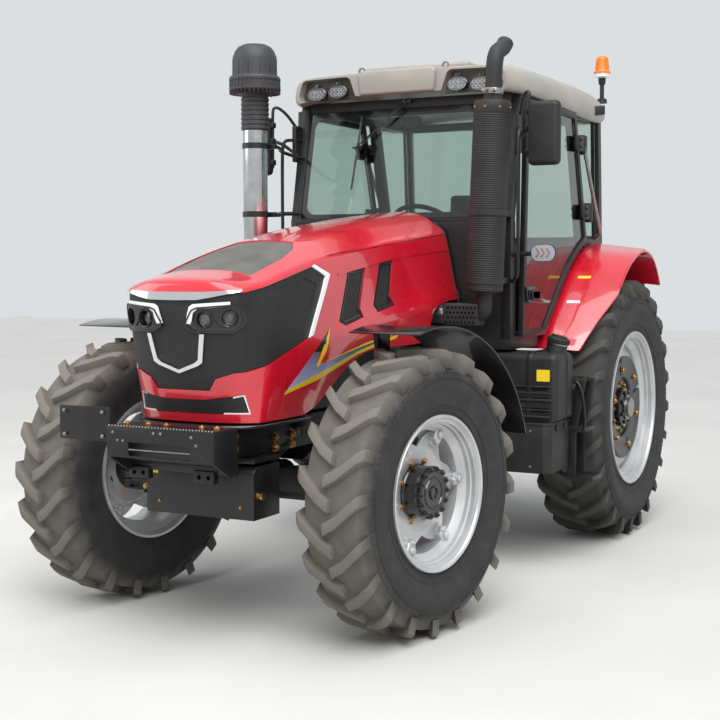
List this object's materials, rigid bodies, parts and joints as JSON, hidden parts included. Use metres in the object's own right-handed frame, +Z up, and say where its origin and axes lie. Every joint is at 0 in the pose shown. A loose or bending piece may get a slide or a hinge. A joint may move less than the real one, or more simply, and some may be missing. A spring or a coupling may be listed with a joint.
{
  "type": "farm tractor",
  "caption": "Four-wheel-drive farm tractor with a glazed cab, lifting hood, steered front wheels and a rear three-point linkage.",
  "frame": {"origin": "on the ground, under the middle of the tractor's box", "axes": "+X the tractor's left, -Y its front, +Z up"},
  "size_m": [2.3356, 4.9999, 3.247],
  "materials": {
    "tyre": "matt",
    "wheel_silver": "satin",
    "red_paint": "gloss",
    "black_casting": "satin",
    "black_plastic": "matt",
    "black_frame": "satin",
    "chrome_trim": "bright",
    "dark_steel": "satin",
    "polished_steel": "bright",
    "roof_grey": "satin",
    "lamp_lens": "clear",
    "amber_lens": "gloss",
    "tinted_glass": "tinted",
    "seat_fabric": "woven",
    "bare_steel": "satin"
  },
  "bodies": {
    "chassis": {"front_axle": "black_casting", "front_frame": "black_casting", "weight_bracket": "black_casting", "front_toolbox": "black_plastic", "engine_block": "black_casting", "transmission_case": "black_casting", "rear_axle_housing": "black_casting", "exhaust": "dark_steel", "air_intake": "polished_steel", "fuel_tank": "black_plastic", "battery_box": "black_plastic", "steps": "black_plastic", "cab_floor": "black_frame", "cab_frame": "black_frame", "cab_roof": "roof_grey", "roof_lamps": "lamp_lens", "beacon": "amber_lens", "windscreen": "tinted_glass", "cab_windows": "tinted_glass", "cab_interior": "black_plastic", "seat_cushion": "seat_fabric", "rear_fenders": "red_paint", "mirrors": "black_plastic", "drawbar": "black_casting"},
    "hood": {"hood_shell": "red_paint", "hood_grilles": "black_plastic", "headlamps": "lamp_lens", "nose_trim": "chrome_trim"},
    "swivel_left": {"knuckle_left": "black_casting", "front_fender_left": "black_plastic"},
    "swivel_right": {"knuckle_right": "black_casting", "front_fender_right": "black_plastic"},
    "tie_rod": {"tie_rod": "black_casting"},
    "wheel_front_left": {"front_left_tyre": "tyre", "front_left_rim": "wheel_silver"},
    "wheel_front_right": {"front_right_tyre": "tyre", "front_right_rim": "wheel_silver"},
    "wheel_rear_left": {"rear_left_tyre": "tyre", "rear_left_rim": "wheel_silver"},
    "wheel_rear_right": {"rear_right_tyre": "tyre", "rear_right_rim": "wheel_silver"},
    "steering_wheel": {"steering_wheel": "black_plastic"},
    "door_left": {"door_left": "black_frame", "door_glass_left": "tinted_glass"},
    "door_right": {"door_right": "black_frame", "door_glass_right": "tinted_glass"},
    "lift_arms": {"lift_arms": "black_casting"},
    "lift_rods": {"lift_rods": "black_casting"},
    "lower_links": {"lower_links": "black_casting"},
    "pto_shaft": {"pto_shaft": "bare_steel"}
  },
  "joints": [
    {"name": "steer_left", "type": "hinge", "parent": "chassis", "child": "swivel_left", "pos_m": [0.66, -1.58, 0.702], "axis": [0, 0, 1], "range_deg": [-23, 41]},
    {"name": "steer_right", "type": "hinge", "parent": "chassis", "child": "swivel_right", "pos_m": [-0.66, -1.58, 0.702], "axis": [0, 0, 1], "range_deg": [-23, 41]},
    {"name": "tie_rod_swing", "type": "hinge", "parent": "swivel_left", "child": "tie_rod", "pos_m": [0.62167, -1.82198, 0.664], "axis": [0, 0, 1], "range_deg": [-41, 23]},
    {"name": "front_left_spin", "type": "hinge", "parent": "swivel_left", "child": "wheel_front_left", "pos_m": [0.86248, -1.61207, 0.702], "axis": [0.9877, -0.1564, 0], "continuous": true},
    {"name": "front_right_spin", "type": "hinge", "parent": "swivel_right", "child": "wheel_front_right", "pos_m": [-0.86248, -1.54793, 0.702], "axis": [0.9877, -0.1564, 0], "continuous": true},
    {"name": "rear_left_spin", "type": "hinge", "parent": "chassis", "child": "wheel_rear_left", "pos_m": [0.908, 1.3, 0.852], "axis": [1, 0, 0], "continuous": true},
    {"name": "rear_right_spin", "type": "hinge", "parent": "chassis", "child": "wheel_rear_right", "pos_m": [-0.908, 1.3, 0.852], "axis": [1, 0, 0], "continuous": true},
    {"name": "steering_wheel_turn", "type": "hinge", "parent": "chassis", "child": "steering_wheel", "pos_m": [0, 0.37273, 2.05527], "axis": [0, 0.5736, 0.8191], "continuous": true},
    {"name": "hood_lift", "type": "hinge", "parent": "chassis", "child": "hood", "pos_m": [0, -0.07, 2.085], "axis": [-1, 0, 0], "range_deg": [0, 45]},
    {"name": "door_left_swing", "type": "hinge", "parent": "chassis", "child": "door_left", "pos_m": [0.794, 1.092, 2.592], "axis": [0, -0.3006, 0.9537], "range_deg": [0, 70]},
    {"name": "door_right_swing", "type": "hinge", "parent": "chassis", "child": "door_right", "pos_m": [-0.794, 1.092, 2.592], "axis": [0, -0.3006, 0.9537], "range_deg": [-70, 0]},
    {"name": "hitch_lift", "type": "hinge", "parent": "chassis", "child": "lift_arms", "pos_m": [0, 1.665, 1.12], "axis": [1, 0, 0], "range_deg": [-22, 40]},
    {"name": "lower_link_swing", "type": "hinge", "parent": "chassis", "child": "lower_links", "pos_m": [0, 1.635, 0.59], "axis": [1, 0, 0], "range_deg": [-20, 37]},
    {"name": "lift_rod_swing", "type": "hinge", "parent": "lift_arms", "child": "lift_rods", "pos_m": [0, 1.965, 1.12], "axis": [1, 0, 0], "range_deg": [-40, 22]},
    {"name": "pto_spin", "type": "hinge", "parent": "chassis", "child": "pto_shaft", "pos_m": [0, 1.62, 0.72], "axis": [0, 1, 0], "continuous": true}
  ],
  "couplings": [
    {"joint": "steer_right", "follows": "steer_left", "ratio": 1},
    {"joint": "tie_rod_swing", "follows": "steer_left", "ratio": -1},
    {"joint": "lower_link_swing", "follows": "hitch_lift", "ratio": 0.909},
    {"joint": "lift_rod_swing", "follows": "hitch_lift", "ratio": -1}
  ]
}
